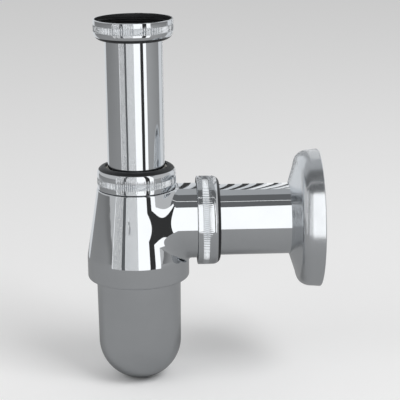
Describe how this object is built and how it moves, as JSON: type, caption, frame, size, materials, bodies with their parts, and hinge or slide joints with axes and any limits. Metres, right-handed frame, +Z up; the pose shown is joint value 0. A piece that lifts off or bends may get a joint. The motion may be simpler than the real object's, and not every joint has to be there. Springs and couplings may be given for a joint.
{
  "type": "basin trap",
  "caption": "Chrome bottle trap for a wash basin: vertical inlet tube with a union nut, conical body with a screwed round-bottomed cup, and a horizontal outlet pipe with a wall rosette.",
  "frame": {"origin": "centre of the basin nut's mouth, on the axis of the inlet tube", "axes": "+Z up along the inlet tube towards the basin, +X along the outlet pipe towards the wall"},
  "size_m": [0.1313, 0.078, 0.2075],
  "materials": {
    "chrome": "polished chrome plate on brass",
    "rubber": "matt black rubber",
    "plastic": "plain off-white plastic"
  },
  "bodies": {
    "basin_nut": {"basin_nut": "chrome"},
    "inlet_tube": {"inlet_tube": "chrome", "basin_washer": "rubber"},
    "inlet_seal": {"inlet_seal": "rubber"},
    "trap_body": {"trap_body": "chrome"},
    "inlet_slip_ring": {"inlet_slip_ring": "plastic"},
    "inlet_clamp_nut": {"inlet_clamp_nut": "chrome"},
    "cup_seal": {"cup_seal": "rubber"},
    "cup": {"cup": "chrome"},
    "outlet_slip_ring": {"outlet_slip_ring": "plastic"},
    "outlet_clamp_nut": {"outlet_clamp_nut": "chrome"},
    "outlet_seal": {"outlet_seal": "rubber"},
    "outlet_pipe": {"outlet_pipe": "chrome"},
    "wall_rosette": {"wall_rosette": "chrome"}
  },
  "joints": [
    {"name": "basin_nut_turn", "type": "hinge", "parent": "basin_nut", "child": "inlet_tube", "pos_m": [0, 0, 0], "axis": [0, 0, 1], "continuous": true},
    {"name": "height_adjust", "type": "slide", "parent": "inlet_tube", "child": "inlet_seal", "axis": [0, 0, 1], "range_m": [-0.025, 0.01]},
    {"name": "body_swivel", "type": "hinge", "parent": "inlet_seal", "child": "trap_body", "pos_m": [0, 0, -0.115], "axis": [0, 0, 1], "continuous": true},
    {"name": "inlet_nut_travel", "type": "slide", "parent": "trap_body", "child": "inlet_slip_ring", "axis": [0, 0, 1], "range_m": [0, 0.01]},
    {"name": "inlet_nut_turn", "type": "hinge", "parent": "inlet_slip_ring", "child": "inlet_clamp_nut", "pos_m": [0, 0, -0.09], "axis": [0, 0, 1], "range_deg": [0, 1548]},
    {"name": "cup_travel", "type": "slide", "parent": "trap_body", "child": "cup_seal", "axis": [0, 0, -1], "range_m": [0, 0.0121]},
    {"name": "cup_turn", "type": "hinge", "parent": "cup_seal", "child": "cup", "pos_m": [0, 0, -0.14], "axis": [0, 0, -1], "range_deg": [0, 2160]},
    {"name": "outlet_nut_travel", "type": "slide", "parent": "trap_body", "child": "outlet_slip_ring", "axis": [1, 0, 0], "range_m": [0, 0.011]},
    {"name": "outlet_nut_turn", "type": "hinge", "parent": "outlet_slip_ring", "child": "outlet_clamp_nut", "pos_m": [0.04, 0, -0.115], "axis": [1, 0, 0], "range_deg": [0, 1692]},
    {"name": "pipe_turn", "type": "hinge", "parent": "trap_body", "child": "outlet_seal", "pos_m": [0.04, 0, -0.115], "axis": [1, 0, 0], "continuous": true},
    {"name": "pipe_slide", "type": "slide", "parent": "outlet_seal", "child": "outlet_pipe", "axis": [1, 0, 0], "range_m": [0, 0.007]},
    {"name": "rosette_slide", "type": "slide", "parent": "outlet_pipe", "child": "wall_rosette", "axis": [1, 0, 0], "range_m": [-0.038, 0.012]}
  ],
  "couplings": [
    {"joint": "inlet_nut_travel", "follows": "inlet_nut_turn", "m_per_rad": 0.00036749},
    {"joint": "cup_travel", "follows": "cup_turn", "m_per_rad": 0.00031831},
    {"joint": "outlet_nut_travel", "follows": "outlet_nut_turn", "m_per_rad": 0.00036749}
  ]
}
